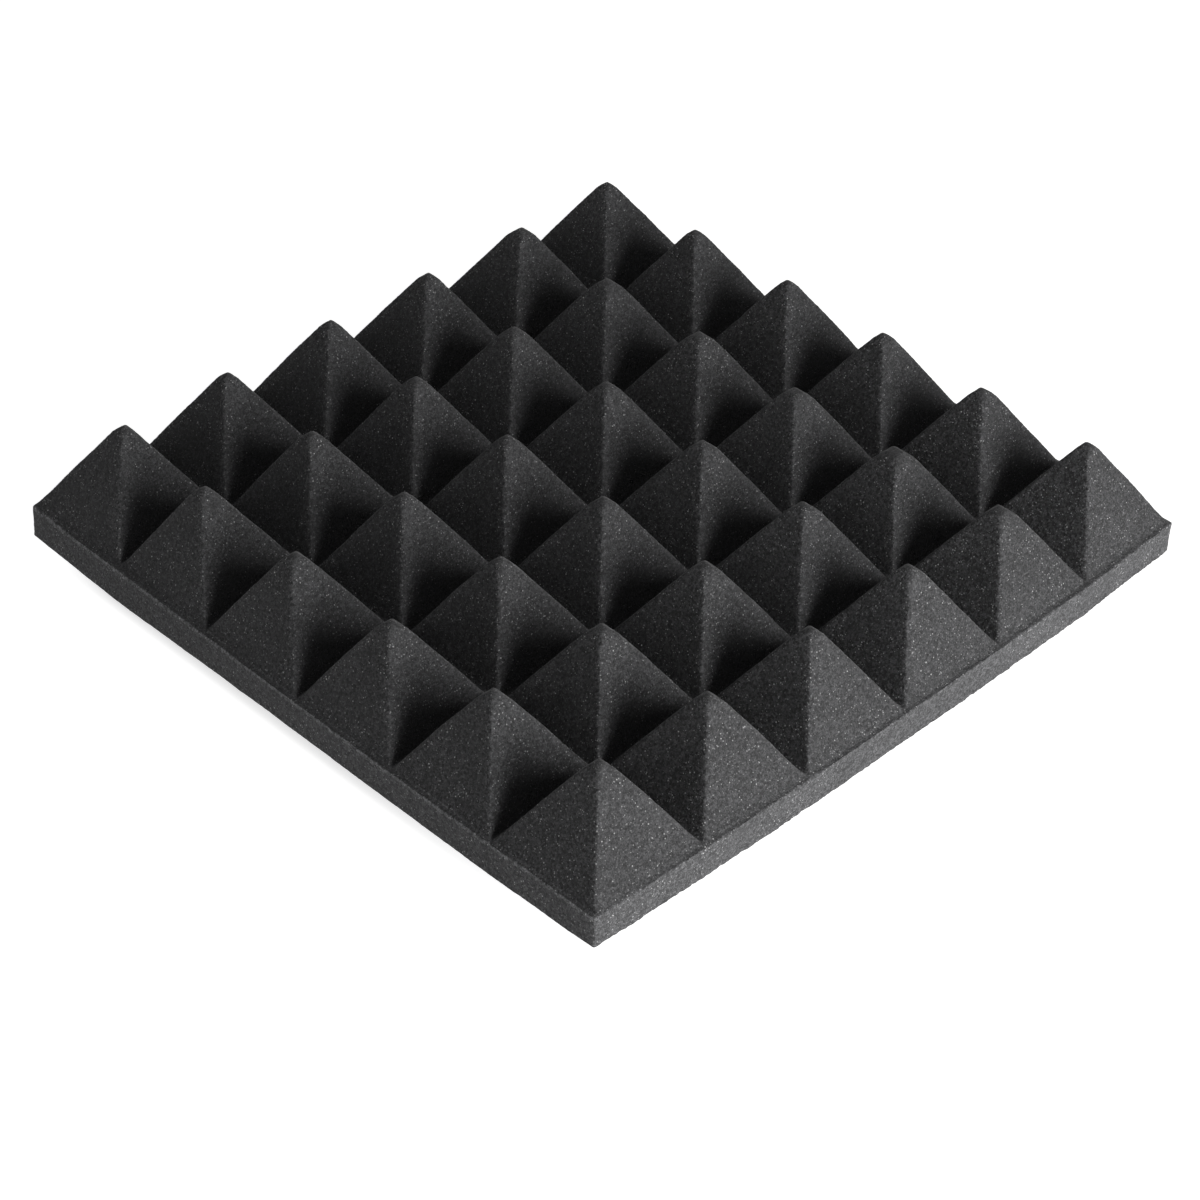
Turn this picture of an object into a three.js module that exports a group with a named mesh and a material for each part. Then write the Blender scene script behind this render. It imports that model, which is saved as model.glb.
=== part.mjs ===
// Acoustic foam panel: a square tile of open-cell foam, a flat slab that carries a field of blunt
// square pyramids with soft ridges. Millimetres, +Z up. The origin is the centre of the flat back
// face, which is glued to a wall, and +Z points from the wall to the pyramids' tips.
import * as THREE from 'three';

// The tile
const tileSide = 300; // edge length of the square
const tileHeight = 50; // from the back face to the pyramids' tips
const pyramidsPerSide = 6;

// The slab that the pyramids stand on
const slabThickness = 12;
const slabEdgeRadius = 1; // softened edges round the slab's front and back faces
const slabCornerRadius = 1.5; // the four upright corners, seen from the front

// One pyramid
const valleyWidth = 0.4; // flat floor left between the feet of two neighbours
const footRadius = 1.2; // hollow arc where a flank runs out on to the slab
const ridgeRadius = 2.2; // soft ridge between two flanks
const tipRadius = 3; // blunt tip
const tipCornerShare = 0.9; // near the tip, the section's corner radius as a share of its half width

// Steps that the round stretches are divided into
const cornerSteps = 3;
const footSteps = 2;
const tipSteps = 4;
const edgeSteps = 3;

// The field of pyramids ends where the slab's edge begins to round off
const fieldSide = tileSide - 2 * slabEdgeRadius;
const pitch = fieldSide / pyramidsPerSide;
const footHalfWidth = (pitch - valleyWidth) / 2;
const pyramidHeight = tileHeight - slabThickness;

const quarterTurn = Math.PI / 2;
const foam = { color: 0x38383a, roughness: 0.95, metalness: 0 };

function makeMesh(name, geometry) {
  const mesh = new THREE.Mesh(geometry, new THREE.MeshStandardMaterial(foam));
  mesh.name = name;
  return mesh;
}

// Points of a square with rounded corners, centred on the axis and running anticlockwise
function roundedSquare(halfWidth, radius) {
  const inner = halfWidth - radius;
  const centres = [[inner, inner], [-inner, inner], [-inner, -inner], [inner, -inner]];
  return centres.flatMap(([x, y], corner) => {
    const arc = new THREE.Path();
    arc.absarc(x, y, radius, corner * quarterTurn, (corner + 1) * quarterTurn, false);
    return arc.curves[0].getPoints(cornerSteps);
  });
}

function baseSlab() {
  const outline = new THREE.Shape(roundedSquare(tileSide / 2, slabCornerRadius));
  const geometry = new THREE.ExtrudeGeometry(outline, {
    depth: slabThickness - 2 * slabEdgeRadius,
    bevelThickness: slabEdgeRadius,
    bevelSize: slabEdgeRadius,
    bevelOffset: -slabEdgeRadius,
    bevelSegments: edgeSteps,
  });
  geometry.translate(0, 0, slabEdgeRadius);
  return makeMesh('base_slab', geometry);
}

// A flank's slope from the horizontal. The flank is the straight line that touches both the hollow
// foot arc, centred above the foot's outer end, and the tip arc, centred on the axis.
function flankSlope() {
  const rise = pyramidHeight - tipRadius - footRadius;
  const reach = Math.hypot(footHalfWidth, rise);
  return Math.atan2(rise, footHalfWidth) + Math.asin((tipRadius + footRadius) / reach);
}

// The levels of a pyramid, from its foot on the slab to just under its tip: up the hollow foot arc,
// along the flank in one straight step, and over the tip arc. Each level is a rounded square.
function pyramidLevels() {
  const slope = flankSlope();
  const levels = [];
  for (let step = 0; step <= footSteps; step += 1) {
    const angle = slope * step / footSteps;
    levels.push({
      halfWidth: footHalfWidth - footRadius * Math.sin(angle),
      height: footRadius * (1 - Math.cos(angle)),
    });
  }
  for (let step = tipSteps; step > 0; step -= 1) {
    const angle = slope * step / tipSteps;
    levels.push({
      halfWidth: tipRadius * Math.sin(angle),
      height: pyramidHeight - tipRadius * (1 - Math.cos(angle)),
    });
  }
  return levels.map(({ halfWidth, height }) => {
    const radius = Math.min(ridgeRadius, halfWidth * tipCornerShare);
    return roundedSquare(halfWidth, radius).map((point) => [point.x, point.y, height]);
  });
}

// A closed skin through rings of equally many points, which meets at one point in the middle of the
// flat foot and at one point at the tip
function loft(rings, tipHeight) {
  const count = rings[0].length;
  const footCentre = rings.length * count;
  const tip = footCentre + 1;
  const lastRing = footCentre - count;
  const faces = [];
  for (let i = 0; i < count; i += 1) {
    const next = (i + 1) % count;
    faces.push(footCentre, next, i);
    for (let low = 0; low < lastRing; low += count) {
      const high = low + count;
      faces.push(low + i, low + next, high + next);
      faces.push(low + i, high + next, high + i);
    }
    faces.push(lastRing + i, lastRing + next, tip);
  }

  const points = [...rings.flat(), [0, 0, 0], [0, 0, tipHeight]];
  const geometry = new THREE.BufferGeometry();
  geometry.setAttribute('position', new THREE.Float32BufferAttribute(points.flat(), 3));
  geometry.setIndex(faces);
  geometry.computeVertexNormals();
  return geometry;
}

// Columns run along +X and rows along +Y, starting at the corner where both are lowest
function pyramidField() {
  const field = new THREE.Group();
  const geometry = loft(pyramidLevels(), pyramidHeight);
  const first = (pitch - fieldSide) / 2;
  for (let row = 0; row < pyramidsPerSide; row += 1) {
    for (let column = 0; column < pyramidsPerSide; column += 1) {
      const pyramid = makeMesh(`pyramid_r${row + 1}_c${column + 1}`, geometry);
      pyramid.position.set(first + column * pitch, first + row * pitch, slabThickness);
      field.add(pyramid);
    }
  }
  return field;
}

const panel = new THREE.Group();
panel.name = 'acoustic_foam_panel';
panel.add(baseSlab(), pyramidField());

export default panel;
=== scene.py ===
"""Acoustic foam panel: the looks of a square tile of charcoal foam, laid out as an add-on.

The tile is one piece of open-cell foam. Its skin is shaped as a whole, from a slab block and
thirty-six pyramids, and is then cut into the slab and six rows of pyramids. Metres, +Z from the
wall to the pyramids' tips. Columns run along +X and rows along +Y.
"""

import math

import bpy
import numpy as np
from bpy.props import FloatProperty, FloatVectorProperty, PointerProperty
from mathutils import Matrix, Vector


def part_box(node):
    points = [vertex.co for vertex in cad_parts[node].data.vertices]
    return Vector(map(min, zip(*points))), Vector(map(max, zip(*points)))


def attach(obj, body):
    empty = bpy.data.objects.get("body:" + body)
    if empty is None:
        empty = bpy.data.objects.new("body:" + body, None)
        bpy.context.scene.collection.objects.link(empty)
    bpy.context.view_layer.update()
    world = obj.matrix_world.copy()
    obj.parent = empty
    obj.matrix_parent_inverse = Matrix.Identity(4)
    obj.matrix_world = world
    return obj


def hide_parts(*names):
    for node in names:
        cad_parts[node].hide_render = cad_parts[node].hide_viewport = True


bl_info = {
    "name": "Acoustic Foam Panel",
    "version": (1, 0, 0),
    "blender": (4, 5, 0),
    "location": "3D View > Sidebar > Foam Panel",
    "description": "Builds a square tile of pyramid foam and a plain studio round it",
    "category": "Add Mesh",
}

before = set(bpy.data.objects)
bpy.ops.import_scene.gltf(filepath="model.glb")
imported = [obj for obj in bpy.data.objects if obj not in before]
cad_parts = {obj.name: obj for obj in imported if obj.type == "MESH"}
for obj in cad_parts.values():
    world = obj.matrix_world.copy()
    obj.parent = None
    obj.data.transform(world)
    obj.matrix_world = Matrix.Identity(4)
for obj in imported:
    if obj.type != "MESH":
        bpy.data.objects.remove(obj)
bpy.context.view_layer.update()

MM = 0.001
ROWS = 6
SLAB_LOW, SLAB_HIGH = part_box("base_slab")
FIRST_LOW, FIRST_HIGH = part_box("pyramid_r1_c1")
NEXT_LOW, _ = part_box("pyramid_r1_c2")
PITCH = NEXT_LOW.x - FIRST_LOW.x
TILE_SIDE = SLAB_HIGH.x - SLAB_LOW.x
FIELD_LOW = -ROWS / 2 * PITCH

# Steps in which a corner and a pyramid's foot, flank and tip are made, and the number of cuts
# across each of the block's faces
CORNER_STEPS = 4
FOOT_STEPS = 3
FLANK_STEPS = 6
TIP_STEPS = 4
SIDE_CUTS = 11
SMOOTH_UP_TO = math.radians(60)

# How far each pyramid's tip leans along X and along Y, and how far it is cut below its full
# height, in millimetres. The lines run from the near row to the far row, and each line from the
# left column to the right column.
LEAN_X = (
    (0.0, -0.4, -0.8, -0.2, -0.7, 1.2),
    (-0.3, -0.6, -0.8, -0.5, -0.9, -0.3),
    (-0.5, -0.5, -0.4, -0.2, -0.6, -0.5),
    (-0.3, -0.1, -0.2, 0.2, -0.3, -0.8),
    (0.3, -0.4, 0.1, -0.1, -0.2, -1.2),
    (1.6, 0.3, 1.0, 0.5, 0.4, -1.4),
)
LEAN_Y = (
    (0.0, -0.3, -0.7, -1.0, -1.1, 0.1),
    (-0.7, -1.0, -1.2, -1.4, -1.6, -0.5),
    (-0.4, -0.7, -0.7, -1.3, -1.4, -1.0),
    (0.0, -0.1, -0.4, -0.8, -1.2, -1.1),
    (0.8, 0.0, -0.3, -0.8, -0.9, -1.1),
    (-0.7, -0.3, -0.3, -1.3, -1.6, -1.3),
)
BLUNT = (
    (0.6, 0.6, 0.5, 1.2, 2.2, 0.0),
    (1.4, 1.4, 1.3, 2.0, 3.0, 0.7),
    (0.8, 0.8, 0.7, 1.4, 2.4, 0.1),
    (0.6, 0.6, 0.5, 1.2, 2.2, 0.0),
    (0.3, 0.3, 0.2, 0.9, 1.9, -0.3),
    (-0.2, -0.2, -0.3, 0.4, 1.4, -0.3),
)

# How far the soft tile's sides bow outwards, in millimetres, at seven even places along each: from
# left to right for the near and far sides, from near to far for the others. The photograph shows
# the near and left sides.
SLAB_BOW = {  # at the back face, then at the rim
    "near": ((0.1, 1.65, 2.6, 2.6, 2.7, 1.85, -0.4), (-0.2, 1.5, 2.4, 2.75, 2.5, 1.8, -0.55)),
    "far": ((1.0, 1.1, 1.3, 1.5, 1.3, 0.9, 0.2), (0.8, 1.3, 1.3, 1.3, 1.0, 0.7, 0.2)),
    "left": ((1.1, 2.35, 2.6, 2.7, 3.05, 3.45, 1.9), (0.5, 1.3, 2.0, 1.9, 1.7, 1.3, 1.0)),
    "right": ((1.4, 1.2, 1.3, 1.5, 1.3, 0.9, 0.2), (2.2, 1.2, 1.3, 1.4, 1.2, 0.9, 0.2)),
}
FIELD_BOW = {  # at the pyramids' feet, then at their tips
    "near": ((-1.3, -0.6, 0.2, 0.4, 0.2, -1.2, -2.6), (0.1, 0.9, 1.3, 1.35, 1.3, 0.7, -0.4)),
    "far": ((1.9, 1.3, 0.8, 0.7, 0.45, 0.3, 0.2), (1.1, 0.95, 0.8, 0.7, 0.6, 0.45, 0.15)),
    "left": ((-0.9, -0.3, -0.1, 0.05, -0.75, -1.7, 0.4), (0.0, 0.8, 1.5, 1.8, 1.8, 1.3, 0.3)),
    "right": ((3.0, 1.6, 0.8, 0.5, 0.4, 0.4, 0.2), (0.15, 0.45, 0.6, 0.7, 0.6, 0.45, 0.15)),
}

# Each lamp's place, what it is aimed at, and its width and height, in metres
LAMPS = {
    "key": ((0, -0.91, 0.15), (0, -0.1, 0.03), (0.89, 0.41)),
    "front": ((0.2, -1, 0.6), (0, 0, 0), (0.4, 0.3)),
    "left": ((-1.2, 0.2, 0.3), (0, 0, 0), (0.8, 0.4)),
    "back": ((0.85, 0.85, 0.5), (0, 0, 0), (0.8, 0.8)),
}
FLOOR_RADIUS = 5
FLOOR_SIDES = 96
SENSOR_WIDTH = 36
CAMERA_SEES_FROM, CAMERA_SEES_TO = 0.05, 50

# Boxes on the pieces' maps: left, low, right, high
MARGIN = 0.002
SLAB_BOXES = {
    "back": (0.002, 0.2, 0.8, 0.998),
    "top": (0.81, 0.81, 0.998, 0.998),
    "left": (0.002, 0.002, 0.998, 0.046),
    "near": (0.002, 0.05, 0.998, 0.094),
    "right": (0.002, 0.098, 0.998, 0.142),
    "far": (0.002, 0.146, 0.998, 0.19),
}
ROW_BOXES = {
    "under": (0.002, 0.002, 0.998, 0.07),
    "near": (0.002, 0.075, 0.998, 0.09),
    "far": (0.002, 0.095, 0.998, 0.11),
    "left": (0.002, 0.115, 0.45, 0.13),
    "right": (0.55, 0.115, 0.998, 0.13),
}
CELLS_LOW = 0.135
CELL_HEIGHT = 0.4325
CELLS_ACROSS = 3

SKIN = "foam_skin"
SLAB = "foam_slab"
ROW = "foam_row_{}"
FOAM = "charcoal open-cell foam"
EDGE = "foam_edge"


class FoamShape(bpy.types.PropertyGroup):
    """Sizes of the slab and the pyramids before the foam's edges are softened"""

    slab_top: FloatProperty(
        name="Slab top",
        description="Height of the valleys' floor before softening",
        default=SLAB_HIGH.z + 0.6 * MM,
        unit="LENGTH",
    )
    slab_sunk: FloatProperty(
        name="Sunk below the back",
        description="How far the block reaches below the back face, where it is cut flat",
        default=2.0 * MM,
        unit="LENGTH",
    )
    corner: FloatProperty(
        name="Corner radius",
        description="Radius of the slab's four upright corners",
        default=1.0 * MM,
        unit="LENGTH",
    )
    root: FloatProperty(
        name="Root",
        description="How far a pyramid's foot block reaches down into the slab",
        default=5.0 * MM,
        unit="LENGTH",
    )
    valley: FloatProperty(
        name="Valley",
        description="Half width of the flat floor between two pyramids",
        default=0.1 * MM,
        unit="LENGTH",
    )
    foot: FloatProperty(
        name="Foot height",
        description="Height over which a flank runs out hollow on to the slab",
        default=2.8 * MM,
        unit="LENGTH",
    )
    apex: FloatProperty(
        name="Flanks' meeting point",
        description="Height at which the straight flanks of a pyramid would meet",
        default=FIRST_HIGH.z + 3.0 * MM,
        unit="LENGTH",
    )
    slope: FloatProperty(
        name="Flank slope",
        description="Slope of a flank from the slab",
        default=math.radians(58.9),
        subtype="ANGLE",
    )
    bulge: FloatProperty(
        name="Flank bulge",
        description="How far a flank bows outwards half way up",
        default=0.25 * MM,
        unit="LENGTH",
    )
    shoulder: FloatProperty(
        name="Shoulder",
        description="How far below the tip a flank starts to round over",
        default=3.4 * MM,
        unit="LENGTH",
    )
    top: FloatProperty(
        name="Top",
        description="Height of a tip before it is softened",
        default=FIRST_HIGH.z,
        unit="LENGTH",
    )
    tip: FloatProperty(
        name="Tip width",
        description="Half width of a pyramid's tip before it is softened",
        default=0.7 * MM,
        unit="LENGTH",
    )
    field_stretch: FloatVectorProperty(
        name="Field stretch",
        description="How much the field of pyramids is stretched on the soft slab",
        size=3,
        default=(1.003, 1.006, 1.0),
    )
    field_shift: FloatVectorProperty(
        name="Field shift",
        description="How far the field of pyramids was cut off the slab's middle",
        subtype="TRANSLATION",
        size=3,
        default=(-0.9 * MM, -0.6 * MM, 0),
    )
    cut: FloatProperty(
        name="Cut height",
        description="Height at which the pyramids' rows part from the slab",
        default=SLAB_HIGH.z - 1.0 * MM,
        unit="LENGTH",
    )


class FoamSkin(bpy.types.PropertyGroup):
    """How fine the skin is, how soft its edges are and how rough the foam is"""

    voxel: FloatProperty(
        name="Skin detail",
        description="Size of the skin's faces",
        default=0.66 * MM,
        unit="LENGTH",
    )
    quick_voxel: FloatProperty(
        name="Quick detail",
        description="Size of the skin's faces for a quick look",
        default=1.1 * MM,
        unit="LENGTH",
    )
    softness: FloatProperty(
        name="Softness",
        description="Reach over which all of the foam's edges are rounded",
        default=0.42 * MM,
        unit="LENGTH",
    )
    ridge_softness: FloatProperty(
        name="Ridge softness",
        description="Further reach over which the ridges are rounded",
        default=1.0 * MM,
        unit="LENGTH",
    )
    # Reach of the painted highlight on ridges, tips and rims, and of the painted light bleeding
    # beside the ridges
    edge: FloatProperty(
        name="Edge width",
        description="Reach within which the foam's worn edges are lighter",
        default=3.0 * MM,
        unit="LENGTH",
    )
    wave: FloatProperty(
        name="Wave height",
        description="Slow waves that the cutting wire leaves",
        default=0.5 * MM,
        unit="LENGTH",
    )
    wave_size: FloatProperty(
        name="Wave size",
        description="Size of the slow waves",
        default=16 * MM,
        unit="LENGTH",
    )
    grain: FloatProperty(
        name="Grain height",
        description="Roughness that the cut cells give the skin",
        default=0.22 * MM,
        unit="LENGTH",
    )
    grain_size: FloatProperty(
        name="Grain size",
        description="Size of the cut cells' roughness",
        default=1.4 * MM,
        unit="LENGTH",
    )
    ragged: FloatProperty(
        name="Ragged edge",
        description="Height of the teeth along the lower front edge, which was cut roughly",
        default=1.0 * MM,
        unit="LENGTH",
    )
    ragged_size: FloatProperty(
        name="Tooth size",
        description="Size of the teeth along the lower front edge",
        default=2.1 * MM,
        unit="LENGTH",
    )


class FoamFinish(bpy.types.PropertyGroup):
    """Colour and grain of the foam"""

    colour: FloatVectorProperty(
        name="Foam",
        description="Colour of the pyramids' foam",
        subtype="COLOR",
        size=3,
        default=(0.056, 0.056, 0.0575),
        min=0,
        max=1,
    )
    side_gain: FloatProperty(
        name="Cut sides",
        description="How much lighter the slab's cut sides are",
        default=0.58,
    )
    cell: FloatProperty(
        name="Cell size",
        description="Size of the foam's open cells",
        default=0.85 * MM,
        unit="LENGTH",
    )
    mottle: FloatProperty(
        name="Mottle",
        description="How much the cells differ in tone",
        default=1.0,
    )
    # Partly the foam's rise, crossed by the cut, and partly painted relief shading of the light
    # that grazes the faces that face left or right
    across_gain: FloatProperty(
        name="Cross cut",
        description="How much more the cells differ where the cut crosses the foam's rise",
        default=0.5,
    )
    side_calm: FloatProperty(
        name="Calm sides",
        description="How much less the cells differ on the slab's cut sides",
        default=0.12,
    )
    speckle: FloatProperty(
        name="Speckle size",
        description="Size of the finest speckle",
        default=0.55 * MM,
        unit="LENGTH",
    )
    cloud: FloatProperty(
        name="Cloud size",
        description="Size of the faint changes of tone over the whole tile",
        default=24 * MM,
        unit="LENGTH",
    )
    glint: FloatProperty(
        name="Glints",
        description="How bright the cells that catch the light are",
        default=0.36,
    )
    glint_size: FloatProperty(
        name="Glint size",
        description="Size of the cells that can catch the light",
        default=0.75 * MM,
        unit="LENGTH",
    )
    # Partly the foam's rise, crossed by the cut, and partly painted glints of the light that
    # grazes the faces that face left or right
    glint_across: FloatProperty(
        name="Cross cut glints",
        description="How much brighter the glints are where the cut crosses the foam's rise",
        default=0.5,
    )
    cluster: FloatProperty(
        name="Cluster size",
        description="Size of the clusters that the glints stand in",
        default=3 * MM,
        unit="LENGTH",
    )
    # A painted highlight on ridges, tips and rims, where the foam catches the light
    edge_gain: FloatProperty(
        name="Highlit edges",
        description="How much lighter ridges, tips and rims are",
        default=0.2,
    )
    bleed_gain: FloatProperty(
        name="Bleeding light",
        description="How much light bleeds through a ridge to its left and right flanks",
        default=0.7,
    )
    # A painted highlight along the rims of the slab's left and right sides
    rim_gain: FloatProperty(
        name="Highlighted rims",
        description="How much lighter the left and right sides' frayed rims are",
        default=1.2,
    )
    relief: FloatProperty(
        name="Relief",
        description="Strength of the cells' relief",
        default=0.35,
    )
    relief_depth: FloatProperty(
        name="Relief depth",
        description="Depth of the cells' relief",
        default=0.35 * MM,
        unit="LENGTH",
    )


class FoamStage(bpy.types.PropertyGroup):
    """Floor, lamps and camera"""

    key_power: FloatProperty(
        name="Key lamp",
        description="Power of the long low lamp in front of the tile",
        default=8.9,
        unit="POWER",
    )
    front_power: FloatProperty(
        name="Front lamp",
        description="Power of the high lamp in front of the tile",
        default=2.35,
        unit="POWER",
    )
    left_power: FloatProperty(
        name="Left lamp",
        description="Power of the soft lamp at the tile's left",
        default=1.13,
        unit="POWER",
    )
    back_power: FloatProperty(
        name="Back lamp",
        description="Power of the soft lamp behind the tile's right",
        default=2.07,
        unit="POWER",
    )
    floor_glow: FloatProperty(
        name="Floor glow",
        description="Light that the bright paper floor gives the tile's edges",
        default=0.122,
    )
    # Depth of the shadow painted on the floor beside the tile's left side
    shadow: FloatProperty(
        name="Shadow",
        description="How dark the floor is beside the tile's left side",
        default=0.3,
    )
    camera_place: FloatVectorProperty(
        name="Camera place",
        description="Where the camera stands",
        subtype="TRANSLATION",
        size=3,
        precision=6,
        default=(-0.664625, -0.664248, 0.738772),
    )
    camera_turn: FloatVectorProperty(
        name="Camera turn",
        description="How the camera is turned",
        subtype="EULER",
        size=3,
        default=tuple(math.radians(a) for a in (50.7845, -0.7284, -44.3829)),
    )
    lens: FloatProperty(
        name="Lens",
        description="Focal length in millimetres on a sensor 36 mm wide",
        default=95.33,
    )


def take(obj):
    """Leave everything but obj deselected, and make obj the active object."""
    bpy.ops.object.select_all(action="DESELECT")
    obj.select_set(True)
    bpy.context.view_layer.objects.active = obj
    return obj


def named(obj, name):
    """Give obj and its mesh a name."""
    obj.name = obj.data.name = name
    return obj


def copy_of(obj, name):
    """A copy of obj with its own mesh."""
    take(obj)
    bpy.ops.object.duplicate(linked=False)
    return named(bpy.context.active_object, name)


def settle(obj):
    """Put obj's place, turn and scale into its mesh."""
    take(obj)
    bpy.ops.object.transform_apply(location=True, rotation=True, scale=True)
    return obj


def join(pieces):
    """Put pieces into one object."""
    bpy.ops.object.select_all(action="DESELECT")
    for piece in pieces:
        piece.select_set(True)
    bpy.context.view_layer.objects.active = pieces[0]
    bpy.ops.object.join()
    return bpy.context.active_object


def apply_modifier(obj, kind, **settings):
    """Put a modifier on obj, set it and apply it."""
    take(obj)
    modifier = obj.modifiers.new(kind.lower(), kind)
    for key, value in settings.items():
        setattr(modifier, key, value)
    bpy.ops.object.modifier_apply(modifier=modifier.name)


def places(mesh):
    """All vertices' places."""
    found = np.empty(len(mesh.vertices) * 3)
    mesh.vertices.foreach_get("co", found)
    return found.reshape(-1, 3)


def weigh(obj, name, weights):
    """A vertex group with a weight for every vertex, in sixteen steps."""
    steps = 16
    group = obj.vertex_groups.new(name=name)
    levels = np.round(np.clip(weights, 0, 1) * steps).astype(int)
    for level in range(1, steps + 1):
        group.add(np.flatnonzero(levels == level).tolist(), level / steps, "REPLACE")
    return group.name


def add_block(name, low, high):
    """A block between two corners."""
    bpy.ops.object.select_all(action="DESELECT")
    bpy.ops.mesh.primitive_cube_add(size=1, location=(low + high) / 2, scale=high - low)
    return settle(named(bpy.context.active_object, name))


def bevel_upright_edges(block, radius):
    """Round a block's four upright edges."""
    tolerance = 0.1 * MM
    take(block)
    bpy.ops.object.mode_set(mode="EDIT")
    bpy.ops.mesh.select_mode(type="EDGE")
    bpy.ops.mesh.select_all(action="DESELECT")
    bpy.ops.object.mode_set(mode="OBJECT")
    points = block.data.vertices
    for edge in block.data.edges:
        low, high = (points[index].co for index in edge.vertices)
        edge.select = (low - high).xy.length < tolerance
    bpy.ops.object.mode_set(mode="EDIT")
    bpy.ops.mesh.bevel(
        offset=radius, offset_type="OFFSET", segments=CORNER_STEPS, affect="EDGES"
    )
    bpy.ops.object.mode_set(mode="OBJECT")


def divide(block, cuts):
    """Divide a block's faces evenly, so that it can be bent."""
    take(block)
    bpy.ops.object.mode_set(mode="EDIT")
    bpy.ops.mesh.select_all(action="SELECT")
    bpy.ops.mesh.subdivide(number_cuts=cuts)
    bpy.ops.object.mode_set(mode="OBJECT")


def add_slab(shape):
    """The slab's block, which reaches below the back face until its skin is cut flat there."""
    low = Vector((SLAB_LOW.x, SLAB_LOW.y, SLAB_LOW.z - shape.slab_sunk))
    high = Vector((SLAB_HIGH.x, SLAB_HIGH.y, shape.slab_top))
    block = add_block("block", low, high)
    bevel_upright_edges(block, shape.corner)
    divide(block, SIDE_CUTS)
    return block


def bow_sides(obj, low, high, bow):
    """Bow the sides outwards with a lattice; the bow fades out towards the tile's middle."""
    layers, places_along = len(bow["near"]), len(bow["near"][0])
    bpy.ops.object.select_all(action="DESELECT")
    bpy.ops.object.add(type="LATTICE", location=(0, 0, (low + high) / 2))
    cage = bpy.context.active_object
    cage.scale = (TILE_SIDE, TILE_SIDE, high - low)
    lattice = cage.data
    lattice.points_u = lattice.points_v = places_along
    lattice.points_w = layers
    lattice.interpolation_type_u = lattice.interpolation_type_v = "KEY_CATMULL_ROM"
    lattice.interpolation_type_w = "KEY_LINEAR"
    middle = places_along // 2
    for index, point in enumerate(lattice.points):
        layer, rest = divmod(index, places_along**2)
        row, column = divmod(rest, places_along)
        x_bow = bow["right" if column > middle else "left"][layer][row]
        y_bow = bow["far" if row > middle else "near"][layer][column]
        shift = Vector((x_bow * (column - middle), y_bow * (row - middle), 0)) / middle
        point.co_deform = point.co_deform + shift * MM / TILE_SIDE
    apply_modifier(obj, "LATTICE", object=cage)
    take(cage)
    bpy.ops.object.delete()


def flank_half_width(shape, height):
    """Half width of a pyramid's straight flanks at a height, with their slight bulge."""
    rise = (height - shape.slab_top) / (shape.apex - shape.slab_top)
    bow = shape.bulge / math.sin(shape.slope) * math.sin(math.pi * min(max(rise, 0), 1))
    return (shape.apex - height) / math.tan(shape.slope) + bow


def curve(start, bend, end, steps):
    """Points along a curve that leaves start towards bend and arrives at end."""
    shares = (step / steps for step in range(1, steps + 1))
    return [start * (1 - t) ** 2 + bend * 2 * t * (1 - t) + end * t**2 for t in shares]


def pyramid_levels(shape, blunt):
    """Half width and height of each level, from the foot's outer edge up to the tip.

    The foot and the shoulder are curves that run into the flank. A blunter pyramid starts to
    round over lower down and has a wider tip.
    """
    first_rise, foot_bend = 0.02 * MM, 0.2 * MM
    shoulder_share, tip_share = 1.5, 0.5
    shoulder_bend_share, shoulder_out = 0.55, 0.2 * MM

    def flank(height, out=0.0):
        return Vector((flank_half_width(shape, height) + out, height))

    foot = shape.slab_top + shape.foot
    outer = Vector((PITCH / 2 - shape.valley, shape.slab_top + first_rise))
    bend = flank(shape.slab_top + foot_bend)
    levels = [outer, *curve(outer, bend, flank(foot), FOOT_STEPS)]

    shoulder = shape.top - shape.shoulder - shoulder_share * blunt
    for step in range(1, FLANK_STEPS + 1):
        levels.append(flank(foot + (shoulder - foot) * step / FLANK_STEPS))

    top = Vector((shape.tip + tip_share * blunt, shape.top - blunt))
    bend = flank(shoulder + shoulder_bend_share * (top.y - shoulder), out=shoulder_out)
    levels += curve(levels[-1], bend, top, TIP_STEPS)
    return levels


def add_pyramid(shape, blunt, lean):
    """One sharp pyramid over the origin: a foot block, extruded and narrowed level by level."""
    half = PITCH / 2
    low = Vector((-half, -half, shape.slab_top - shape.root))
    high = Vector((half, half, shape.slab_top))
    pyramid = add_block("pyramid", low, high)
    bpy.ops.object.mode_set(mode="EDIT")
    bpy.ops.mesh.select_mode(type="FACE")
    bpy.ops.mesh.select_all(action="DESELECT")
    bpy.ops.object.mode_set(mode="OBJECT")
    for face in pyramid.data.polygons:
        face.select = face.normal.z > 0.9
    bpy.ops.object.mode_set(mode="EDIT")
    width, height = half, shape.slab_top
    span = shape.top - shape.slab_top
    for next_width, next_height in pyramid_levels(shape, blunt):
        rise = next_height - height
        bpy.ops.mesh.extrude_region_move(
            TRANSFORM_OT_translate={"value": lean * (rise / span) + Vector((0, 0, rise))}
        )
        centre = lean * ((next_height - shape.slab_top) / span)
        bpy.ops.transform.resize(
            value=(next_width / width, next_width / width, 1),
            center_override=(centre.x, centre.y, next_height),
        )
        width, height = next_width, next_height
    bpy.ops.object.mode_set(mode="OBJECT")
    return pyramid


def add_field(shape):
    """A pyramid in each cell of the field, each a little different, in one object."""
    pyramids = []
    for row in range(ROWS):
        for column in range(ROWS):
            lean = Vector((LEAN_X[row][column], LEAN_Y[row][column], 0)) * MM
            pyramid = add_pyramid(shape, BLUNT[row][column] * MM, lean)
            pyramid.location = (
                FIELD_LOW + (column + 0.5) * PITCH,
                FIELD_LOW + (row + 0.5) * PITCH,
                0,
            )
            pyramids.append(settle(pyramid))
    field = join(pyramids)
    bpy.ops.transform.resize(value=shape.field_stretch, center_override=(0, 0, 0))
    bpy.ops.transform.translate(value=shape.field_shift)
    return settle(field)


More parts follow.
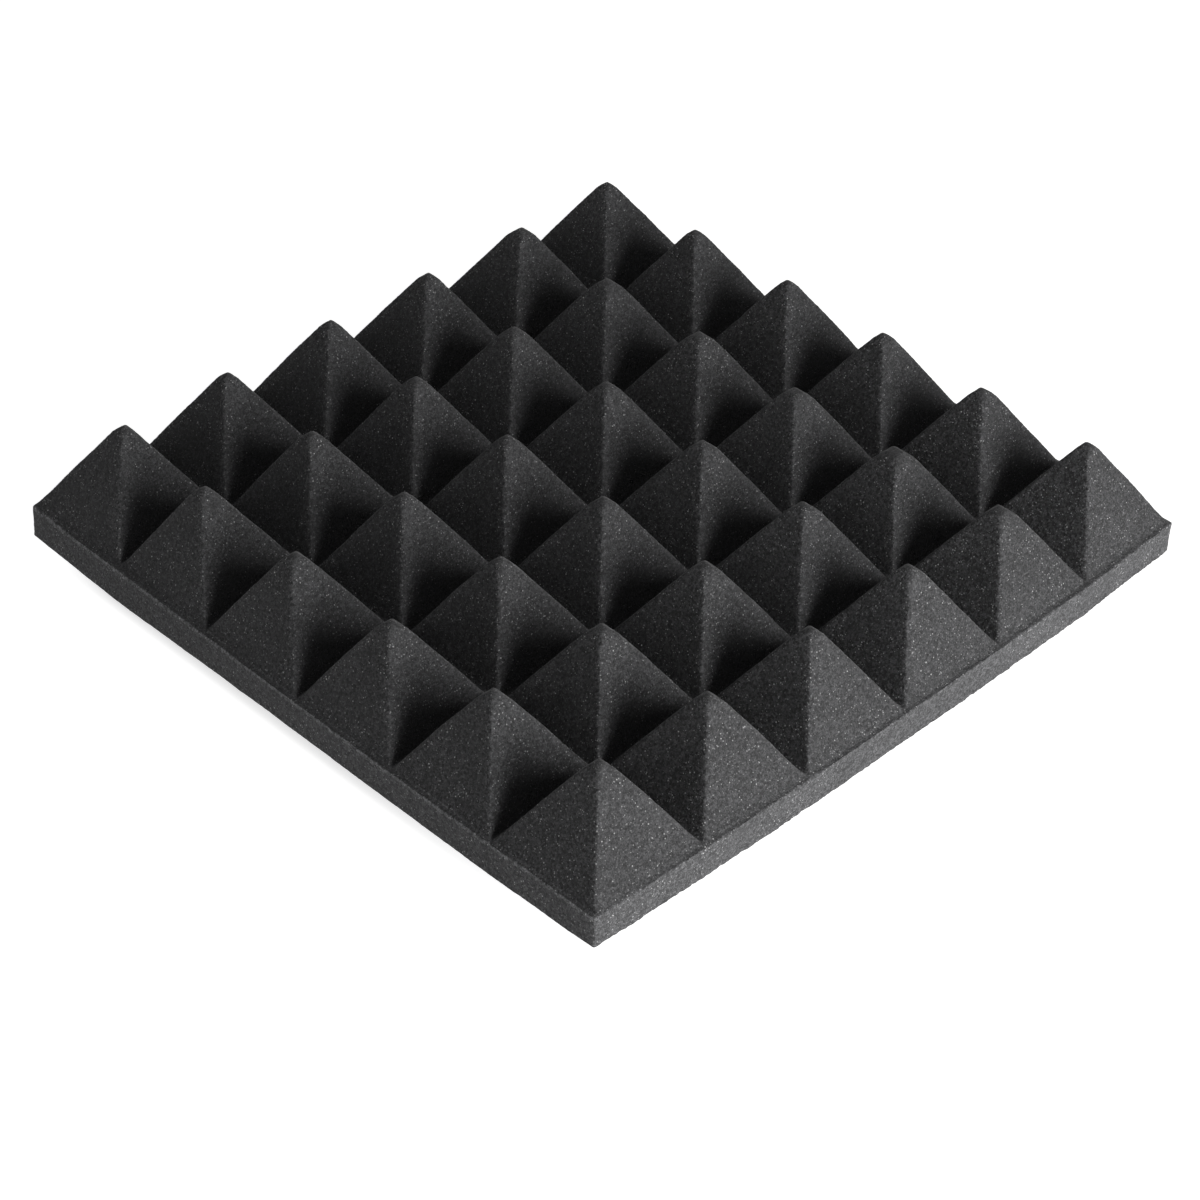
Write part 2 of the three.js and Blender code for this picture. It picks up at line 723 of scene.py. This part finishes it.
def fuse(solid, name, voxel):
    """Turn closed parts that overlap into one continuous skin of even faces."""
    skin = named(solid, name)
    apply_modifier(skin, "REMESH", mode="VOXEL", voxel_size=voxel, use_smooth_shade=True)
    return skin


def soften(skin, reach, voxel, group=""):
    """Round the edges over a reach, which grows with the root of the number of steps."""
    factor = 0.5
    steps = max(1, round(2 * reach**2 / (factor * voxel**2)))
    apply_modifier(skin, "SMOOTH", factor=factor, iterations=steps, vertex_group=group)


def soften_ridges(skin, shape, reach, voxel):
    """Round the ridges further. The valleys are left as they are, and the tips nearly so."""
    rises, weights = (0.05, 0.16, 0.75, 0.95), (0, 1, 1, 0.3)
    rise = (places(skin.data)[:, 2] - shape.slab_top) / (shape.top - shape.slab_top)
    soften(skin, reach, voxel, weigh(skin, "ridges", np.interp(rise, rises, weights)))


def mark_edges(skin, reach, voxel):
    """Keep in the attribute EDGE how far each point stands out as a ridge, a tip or a rim."""
    full_share = 0.4
    smooth = copy_of(skin, "smooth skin")
    soften(smooth, reach, voxel)
    normals = np.empty(len(skin.data.vertices) * 3)
    skin.data.vertex_normals.foreach_get("vector", normals)
    height = ((places(skin.data) - places(smooth.data)) * normals.reshape(-1, 3)).sum(axis=1)
    take(smooth)
    bpy.ops.object.delete()
    # This attribute marks where the material paints its highlight on ridges, tips and rims, and
    # the light that bleeds beside the ridges
    marks = skin.data.attributes.new(EDGE, "FLOAT", "POINT")
    marks.data.foreach_set("value", np.clip(height / (full_share * reach), 0, 1))


def displace(skin, name, size, strength, depth=1, mid_level=0.5, group=""):
    """Push the skin in and out along its normals with a noise."""
    texture = bpy.data.textures.new(name, "CLOUDS")
    texture.noise_scale = size
    texture.noise_depth = depth
    apply_modifier(
        skin,
        "DISPLACE",
        texture=texture,
        strength=strength,
        mid_level=mid_level,
        direction="NORMAL",
        vertex_group=group,
    )


def lower_front_edge(skin):
    """A vertex group that is full along the lower front edge and fades out round it."""
    at = places(skin.data)
    full_up_to, fades_up_over = 0.5 * MM, 2.5 * MM
    low = np.clip(1 - (at[:, 2] - full_up_to) / fades_up_over, 0, 1)
    ends_at, fades_in_over = SLAB_LOW.y + 2.5 * MM, 1.5 * MM
    front = np.clip((ends_at - at[:, 1]) / fades_in_over, 0, 1)
    return weigh(skin, "lower front edge", low * front)


def roughen(skin, foam):
    """Slow waves, the cells' grain and a ragged lower front edge."""
    displace(skin, "foam waves", foam.wave_size, foam.wave)
    displace(skin, "foam grain", foam.grain_size, foam.grain)
    displace(
        skin,
        "foam teeth",
        foam.ragged_size,
        foam.ragged,
        depth=2,
        mid_level=0.42,
        group=lower_front_edge(skin),
    )
    skin.vertex_groups.clear()


def cut(obj, place, normal, keep_far):
    """Cut obj along a plane, close it there, and keep the side the normal points to, or not."""
    take(obj)
    bpy.ops.object.mode_set(mode="EDIT")
    bpy.ops.mesh.select_all(action="SELECT")
    bpy.ops.mesh.bisect(
        plane_co=place,
        plane_no=normal,
        use_fill=True,
        threshold=1e-6,
        clear_inner=keep_far,
        clear_outer=not keep_far,
    )
    bpy.ops.object.mode_set(mode="OBJECT")
    return obj


def split(rest, name, place, normal):
    """Part off what lies on the side that the normal points away from, as a piece of its own."""
    part = copy_of(rest, name)
    cut(part, place, normal, keep_far=False)
    cut(rest, place, normal, keep_far=True)
    return part


def lay_map(obj, patches):
    """Lay obj's faces out on its own map, patch by patch.

    A patch is a test of the faces' centres and normals, the two axes that it is seen along, and
    its box on the map. A face goes to the first patch whose test it meets.
    """
    mesh = obj.data
    faces = len(mesh.polygons)
    centres, normals = np.empty(faces * 3), np.empty(faces * 3)
    sides, corners = np.empty(faces, int), np.empty(len(mesh.loops), int)
    mesh.polygons.foreach_get("center", centres)
    mesh.polygons.foreach_get("normal", normals)
    mesh.polygons.foreach_get("loop_total", sides)
    mesh.loops.foreach_get("vertex_index", corners)
    owner = np.repeat(np.arange(faces), sides)
    at = places(mesh)[corners]
    spots = np.zeros((len(corners), 2))
    free = np.ones(faces, bool)
    for is_in, axes, (left, low, right, high) in patches:
        chosen = is_in(centres.reshape(-1, 3).T, normals.reshape(-1, 3).T) & free
        free &= ~chosen
        mine = chosen[owner]
        flat = at[mine][:, axes]
        start, span = flat.min(axis=0), np.ptp(flat, axis=0)
        spots[mine] = (left, low) + (flat - start) / span * (right - left, high - low)
    mesh.uv_layers.new(name="OFBake").data.foreach_set("uv", spots.ravel())


def lay_slab_map(slab):
    """The slab's four sides in strips, its back in a square, and its hidden top small."""
    flat = 0.7
    boxes = SLAB_BOXES
    lay_map(
        slab,
        (
            (lambda at, n: n[2] < -flat, (0, 1), boxes["back"]),
            (lambda at, n: n[2] > flat, (0, 1), boxes["top"]),
            (lambda at, n: n[0] < -abs(n[1]), (1, 2), boxes["left"]),
            (lambda at, n: n[1] < -abs(n[0]), (0, 2), boxes["near"]),
            (lambda at, n: n[0] > abs(n[1]), (1, 2), boxes["right"]),
            (lambda at, n: n[1] > -1, (0, 2), boxes["far"]),
        ),
    )


def lay_row_map(row, floor):
    """A row's pyramids from above in six cells, and its under side and edges in strips."""
    steep, wall = 0.35, 0.99
    edge_top = floor + 0.3 * MM

    def is_edge(at, n):
        return (abs(n[2]) < steep) & (at[2] < edge_top) | (abs(n[1]) > wall)

    boxes = ROW_BOXES
    patches = [
        (lambda at, n: n[2] < -steep, (0, 1), boxes["under"]),
        (lambda at, n: is_edge(at, n) & (n[1] < -abs(n[0])), (0, 2), boxes["near"]),
        (lambda at, n: is_edge(at, n) & (n[1] > abs(n[0])), (0, 2), boxes["far"]),
        (lambda at, n: is_edge(at, n) & (n[0] < 0), (1, 2), boxes["left"]),
        (lambda at, n: is_edge(at, n), (1, 2), boxes["right"]),
    ]
    width = 1 / CELLS_ACROSS
    for column in range(ROWS):
        end = FIELD_LOW + (column + 1) * PITCH if column < ROWS - 1 else TILE_SIDE
        line, spot = divmod(column, CELLS_ACROSS)
        left, low = spot * width, CELLS_LOW + line * CELL_HEIGHT
        right, high = left + width, low + CELL_HEIGHT
        box = (left + MARGIN, low + MARGIN, right - MARGIN, high - MARGIN)
        patches.append((lambda at, n, end=end: at[0] < end, (0, 1), box))
    lay_map(row, patches)


def finish_piece(obj, *nodes):
    """Shade a cut piece, hang it from the root body, and hide the CAD nodes it stands for."""
    take(obj)
    bpy.ops.object.shade_smooth_by_angle(angle=SMOOTH_UP_TO)
    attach(obj, "root")
    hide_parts(*nodes)


class FOAM_OT_shape_skin(bpy.types.Operator):
    """Shape the tile's whole foam skin from a slab block and thirty-six pyramids"""

    bl_idname = "foam.shape_skin"
    bl_label = "Foam skin"

    def execute(self, context):
        shape, foam = context.scene.foam_shape, context.scene.foam_skin
        voxel = foam.voxel
        block = add_slab(shape)
        bow_sides(block, SLAB_LOW.z, SLAB_HIGH.z, SLAB_BOW)
        field = add_field(shape)
        bow_sides(field, FIRST_LOW.z, FIRST_HIGH.z, FIELD_BOW)
        skin = fuse(join([block, field]), SKIN, voxel)
        soften(skin, foam.softness, voxel)
        soften_ridges(skin, shape, foam.ridge_softness, voxel)
        mark_edges(skin, foam.edge, voxel)
        roughen(skin, foam)
        cut(skin, (0, 0, SLAB_LOW.z), (0, 0, 1), keep_far=True)
        return {"FINISHED"}


class FOAM_OT_cut_slab(bpy.types.Operator):
    """Part the slab from the pyramids"""

    bl_idname = "foam.cut_slab"
    bl_label = "Slab"

    def execute(self, context):
        skin = bpy.data.objects[SKIN]
        slab = split(skin, SLAB, (0, 0, context.scene.foam_shape.cut), (0, 0, 1))
        lay_slab_map(slab)
        finish_piece(slab, "base_slab")
        return {"FINISHED"}


class FOAM_OT_cut_rows(bpy.types.Operator):
    """Part the field of pyramids into its six rows, along the valleys"""

    bl_idname = "foam.cut_rows"
    bl_label = "Rows of pyramids"

    def execute(self, context):
        rest = bpy.data.objects[SKIN]
        for row in range(1, ROWS + 1):
            if row < ROWS:
                valley = (0, FIELD_LOW + row * PITCH, 0)
                piece = split(rest, ROW.format(row), valley, (0, 1, 0))
            else:
                piece = named(rest, ROW.format(row))
            lay_row_map(piece, context.scene.foam_shape.slab_top)
            nodes = (f"pyramid_r{row}_c{column}" for column in range(1, ROWS + 1))
            finish_piece(piece, *nodes)
        return {"FINISHED"}


class Nodes:
    """A material's or world's node tree, with short ways to add and link nodes."""

    def __init__(self, owner):
        owner.use_nodes = True
        self.tree = owner.node_tree
        self.tree.nodes.clear()

    def add(self, kind, inputs=(), **settings):
        """A node, whose inputs are either linked to a socket or set to a value."""
        node = self.tree.nodes.new(kind)
        for key, value in settings.items():
            setattr(node, key, value)
        for key, value in dict(inputs).items():
            if isinstance(value, bpy.types.NodeSocket):
                self.tree.links.new(value, node.inputs[key])
            else:
                node.inputs[key].default_value = value
        return node

    def math(self, operation, *values):
        node = self.add("ShaderNodeMath", dict(enumerate(values)), operation=operation)
        return node.outputs[0]

    def product(self, *values):
        result, *rest = values
        for value in rest:
            result = self.math("MULTIPLY", result, value)
        return result

    def gain(self, where, strength):
        """1 where `where` is 0, and 1 + strength where it is 1."""
        return self.math("MULTIPLY_ADD", where, strength, 1.0)

    def ramp(self, value, low, high, start=0.0, end=1.0):
        """Goes smoothly from start to end as value goes from low to high."""
        inputs = {
            "Value": value,
            "From Min": low,
            "From Max": high,
            "To Min": start,
            "To Max": end,
        }
        node = self.add("ShaderNodeMapRange", inputs, interpolation_type="SMOOTHSTEP")
        return node.outputs["Result"]

    def noise(self, place, size, **inputs):
        inputs = {"Vector": place, "Scale": 1 / size, **inputs}
        return self.add("ShaderNodeTexNoise", inputs).outputs["Fac"]

    def cells(self, place, size):
        """Cells of a size: the distance from each cell's middle, and its three random shares."""
        found = self.add("ShaderNodeTexVoronoi", {"Vector": place, "Scale": 1 / size}).outputs
        shares = self.add("ShaderNodeSeparateColor", {"Color": found["Color"]}).outputs
        return found["Distance"], shares

    def parts(self, vector):
        return self.add("ShaderNodeSeparateXYZ", {"Vector": vector}).outputs


def cut_side(n, place, normal):
    """1 on the slab's cut sides, and less on the narrow ledge above them."""
    x, y, z = n.parts(place)
    reach = n.math("MAXIMUM", n.math("ABSOLUTE", x), n.math("ABSOLUTE", y))
    edge = TILE_SIDE / 2
    outside = n.ramp(reach, edge - 1.5 * MM, edge - 0.6 * MM)
    below = n.ramp(z, SLAB_HIGH.z + 1.4 * MM, SLAB_HIGH.z + 0.7 * MM)
    upright = n.ramp(n.parts(normal)["Z"], 0.93, 0.6, 0.6, 1.0)
    return n.product(outside, below, upright)


def foam_tone(n, finish, place, normal, across, shade, fine):
    """How light the foam is, as a factor on its colour.

    Cells, speckle and clouds come first, then the cut sides, the painted highlight on ridges,
    tips and rims, the painted light that bleeds through the ridges, and the painted highlight on
    the left and right sides' rims.
    """
    side = cut_side(n, place, normal)
    z = n.parts(place)["Z"]
    # Where the highlight and the bleeding light are painted: how far the point stands out as a
    # ridge, tip or rim
    highlit = n.add("ShaderNodeAttribute", attribute_name=EDGE).outputs["Fac"]

    # Stronger mottle on faces that face left or right: partly the foam's rise, partly painted
    # relief shading of the grazing light
    coarse = n.product(n.gain(across, finish.across_gain), n.gain(side, -finish.side_calm))
    mottle = n.product(n.math("SUBTRACT", shade, 0.5), finish.mottle)
    mottle = n.math("MULTIPLY_ADD", mottle, coarse, 1.0)
    speckle = n.ramp(fine, 0.3, 0.7, 0.55, 1.45)
    cloud = n.ramp(n.noise(place, finish.cloud, Detail=2.0), 0.2, 0.8, 0.93, 1.07)

    above_slab = n.ramp(z, SLAB_HIGH.z, SLAB_HIGH.z + 3 * MM)
    bleed = n.product(highlit, across, above_slab)
    # A painted highlight along the top of the left and right sides, at their rims
    rim = n.ramp(z, SLAB_HIGH.z - 1.4 * MM, SLAB_HIGH.z + 0.1 * MM)
    highlighted = n.product(side, rim, across)
    return n.product(
        mottle,
        speckle,
        cloud,
        n.gain(side, finish.side_gain),
        n.gain(highlit, finish.edge_gain),
        n.gain(bleed, finish.bleed_gain),
        n.gain(highlighted, finish.rim_gain),
    )


def foam_glints(n, finish, place, across):
    """Sparse bright specks of different sizes, in clusters."""
    distance, shares = n.cells(place, finish.glint_size)
    size = n.ramp(shares[1], 0.3, 1.0, 0.0, 0.42)
    speck = n.ramp(n.math("SUBTRACT", size, distance), 0.0, 0.15)
    cluster = n.ramp(n.noise(place, finish.cluster), 0.35, 0.65, 0.5, 1.5)
    # Brighter glints on faces that face left or right: partly the foam's rise, partly painted
    # glints of the grazing light
    brighter = n.gain(across, finish.glint_across)
    return n.product(speck, shares[2], finish.glint, cluster, brighter)


def foam_material(finish):
    """Charcoal open-cell foam: mottled cells, sparse glints and lighter cut sides."""
    material = bpy.data.materials.new(FOAM)
    n = Nodes(material)
    coordinates = n.add("ShaderNodeTexCoord").outputs
    place, normal = coordinates["Object"], coordinates["Normal"]
    # 1 on the faces that face left or right. The stronger mottle and glints there are partly the
    # foam's rise and partly painted relief shading and glints of the grazing light. The painted
    # bleeding light and rim highlight are also kept to these faces
    across = n.ramp(n.math("ABSOLUTE", n.parts(normal)["X"]), 0.3, 0.7)
    distance, shares = n.cells(place, finish.cell)
    shade = shares[0]
    fine = n.noise(place, finish.speckle, Detail=1.0, Roughness=0.6)

    tone = foam_tone(n, finish, place, normal, across, shade, fine)
    colour = n.add(
        "ShaderNodeVectorMath",
        {0: tuple(finish.colour), "Scale": tone},
        operation="SCALE",
    ).outputs[0]
    glint = foam_glints(n, finish, place, across)
    glint = n.add("ShaderNodeCombineXYZ", {0: glint, 1: glint, 2: glint}).outputs[0]
    bump = n.add(
        "ShaderNodeBump",
        {
            "Height": n.math("MULTIPLY_ADD", fine, 0.8, distance),
            "Strength": finish.relief,
            "Distance": finish.relief_depth,
        },
        invert=True,
    )
    shader = n.add(
        "ShaderNodeBsdfPrincipled",
        {
            "Base Color": n.add("ShaderNodeVectorMath", {0: colour, 1: glint}).outputs[0],
            "Roughness": n.ramp(shade, 0.0, 1.0, 0.82, 0.98),
            "Specular IOR Level": 0.25,
            "Sheen Weight": 0.1,
            "Normal": bump.outputs["Normal"],
        },
    )
    n.add("ShaderNodeOutputMaterial", {"Surface": shader.outputs["BSDF"]})
    return material


class FOAM_OT_finish_foam(bpy.types.Operator):
    """Give every piece the foam's colour, grain and relief"""

    bl_idname = "foam.finish_foam"
    bl_label = "Foam finish"

    def execute(self, context):
        material = foam_material(context.scene.foam_finish)
        for name in (SLAB, *(ROW.format(row) for row in range(1, ROWS + 1))):
            mesh = bpy.data.objects[name].data
            mesh.materials.clear()
            mesh.materials.append(material)
        return {"FINISHED"}


def seen_by_camera(n):
    """1 for the rays that show a background: straight ones, reflections and glass."""
    path = n.add("ShaderNodeLightPath").outputs
    seen = n.math("MAXIMUM", path["Is Camera Ray"], path["Is Glossy Ray"])
    return n.math("MAXIMUM", seen, path["Is Transmission Ray"])


def beside_left(n):
    """Where a shadow is painted on the floor: 1 along the middle of the tile's left side, fading
    out within 9 mm.
    """
    x, y, _ = n.parts(n.add("ShaderNodeTexCoord").outputs["Object"])
    side = -TILE_SIDE / 2
    return n.product(
        n.ramp(x, side - 9 * MM, side - 3 * MM),
        n.ramp(x, side / 2, side * 2 / 3),
        n.ramp(y, -150 * MM, -20 * MM),
        n.ramp(y, 140 * MM, 95 * MM),
    )


def floor_material(glow, shadow):
    """White paper that stays white in the picture, keeps a faint cast shadow, and has a shadow
    painted beside the tile's left side.
    """
    material = bpy.data.materials.new("white studio floor")
    n = Nodes(material)
    paper = n.add("ShaderNodeBsdfDiffuse", {"Color": (0.85, 0.85, 0.85, 1)}).outputs[0]
    faint = n.add("ShaderNodeBsdfDiffuse", {"Color": (0.6, 0.6, 0.6, 1)}).outputs[0]
    lit = n.add("ShaderNodeEmission", {"Strength": glow}).outputs[0]
    # The white glow is dimmed where the shadow is painted beside the tile's left side
    bright = n.math("SUBTRACT", 1.0, n.product(beside_left(n), shadow))
    white = n.add("ShaderNodeEmission", {"Strength": bright}).outputs[0]
    given = n.add("ShaderNodeAddShader", {0: paper, 1: lit}).outputs[0]
    shown = n.add("ShaderNodeAddShader", {0: faint, 1: white}).outputs[0]
    mix = n.add("ShaderNodeMixShader", {0: seen_by_camera(n), 1: given, 2: shown})
    n.add("ShaderNodeOutputMaterial", {"Surface": mix.outputs[0]})
    return material


def add_floor(stage):
    """A wide round floor of white paper."""
    bpy.ops.object.select_all(action="DESELECT")
    bpy.ops.mesh.primitive_circle_add(
        vertices=FLOOR_SIDES, radius=FLOOR_RADIUS, fill_type="NGON"
    )
    floor = named(bpy.context.active_object, "studio_floor")
    floor.data.materials.append(floor_material(stage.floor_glow, stage.shadow))


def add_lamp(name, power, place, aim, width, height):
    """A soft rectangular lamp."""
    place, aim = Vector(place), Vector(aim)
    bpy.ops.object.select_all(action="DESELECT")
    turn = (place - aim).to_track_quat("Z", "Y").to_euler()
    bpy.ops.object.light_add(type="AREA", location=place, rotation=turn)
    lamp = bpy.context.active_object
    lamp.name = name
    lamp.data.shape = "RECTANGLE"
    lamp.data.size, lamp.data.size_y = width, height
    lamp.data.energy = power


def set_white_room(scene):
    """A background that is white to look at and gives the tile no light."""
    scene.world = bpy.data.worlds.new("white room")
    n = Nodes(scene.world)
    white = n.add("ShaderNodeBackground", {"Color": (1, 1, 1, 1), "Strength": 1.0})
    mix = n.add("ShaderNodeMixShader", {0: seen_by_camera(n), 2: white.outputs[0]})
    n.add("ShaderNodeOutputWorld", {"Surface": mix.outputs[0]})
    scene.view_settings.view_transform = "Standard"


def add_camera(stage):
    """A camera where the photograph's stood, found from the tips, valleys and corners."""
    bpy.ops.object.camera_add(location=stage.camera_place, rotation=stage.camera_turn)
    camera = bpy.context.active_object
    camera.name = "photo camera"
    camera.data.lens = stage.lens
    camera.data.sensor_width = SENSOR_WIDTH
    camera.data.clip_start, camera.data.clip_end = CAMERA_SEES_FROM, CAMERA_SEES_TO
    return camera


class FOAM_OT_set_stage(bpy.types.Operator):
    """Set the floor, the lamps and the camera"""

    bl_idname = "foam.set_stage"
    bl_label = "Stage"

    def execute(self, context):
        stage = context.scene.foam_stage
        add_floor(stage)
        for name, (place, aim, size) in LAMPS.items():
            add_lamp(f"{name} lamp", getattr(stage, f"{name}_power"), place, aim, *size)
        set_white_room(context.scene)
        context.scene.camera = add_camera(stage)
        return {"FINISHED"}


class FOAM_PT_panel(bpy.types.Panel):
    """The foam panel's steps and settings"""

    bl_label = "Foam Panel"
    bl_idname = "FOAM_PT_panel"
    bl_space_type = "VIEW_3D"
    bl_region_type = "UI"
    bl_category = "Foam Panel"

    def draw(self, context):
        for group in GROUPS:
            settings = getattr(context.scene, group)
            box = self.layout.box()
            for key in type(settings).__annotations__:
                box.prop(settings, key)
        for operator in OPERATORS:
            self.layout.operator(operator.bl_idname)


GROUPS = {
    "foam_shape": FoamShape,
    "foam_skin": FoamSkin,
    "foam_finish": FoamFinish,
    "foam_stage": FoamStage,
}
OPERATORS = (
    FOAM_OT_shape_skin,
    FOAM_OT_cut_slab,
    FOAM_OT_cut_rows,
    FOAM_OT_finish_foam,
    FOAM_OT_set_stage,
)
CLASSES = (*GROUPS.values(), *OPERATORS, FOAM_PT_panel)


def register():
    for cls in CLASSES:
        bpy.utils.register_class(cls)
    for name, group in GROUPS.items():
        setattr(bpy.types.Scene, name, PointerProperty(type=group))


def unregister():
    for name in GROUPS:
        delattr(bpy.types.Scene, name)
    for cls in reversed(CLASSES):
        bpy.utils.unregister_class(cls)


def main():
    register()
    bpy.ops.foam.shape_skin()
    bpy.ops.foam.cut_slab()
    bpy.ops.foam.cut_rows()
    bpy.ops.foam.finish_foam()
    bpy.ops.foam.set_stage()


if __name__ == "__main__":
    main()
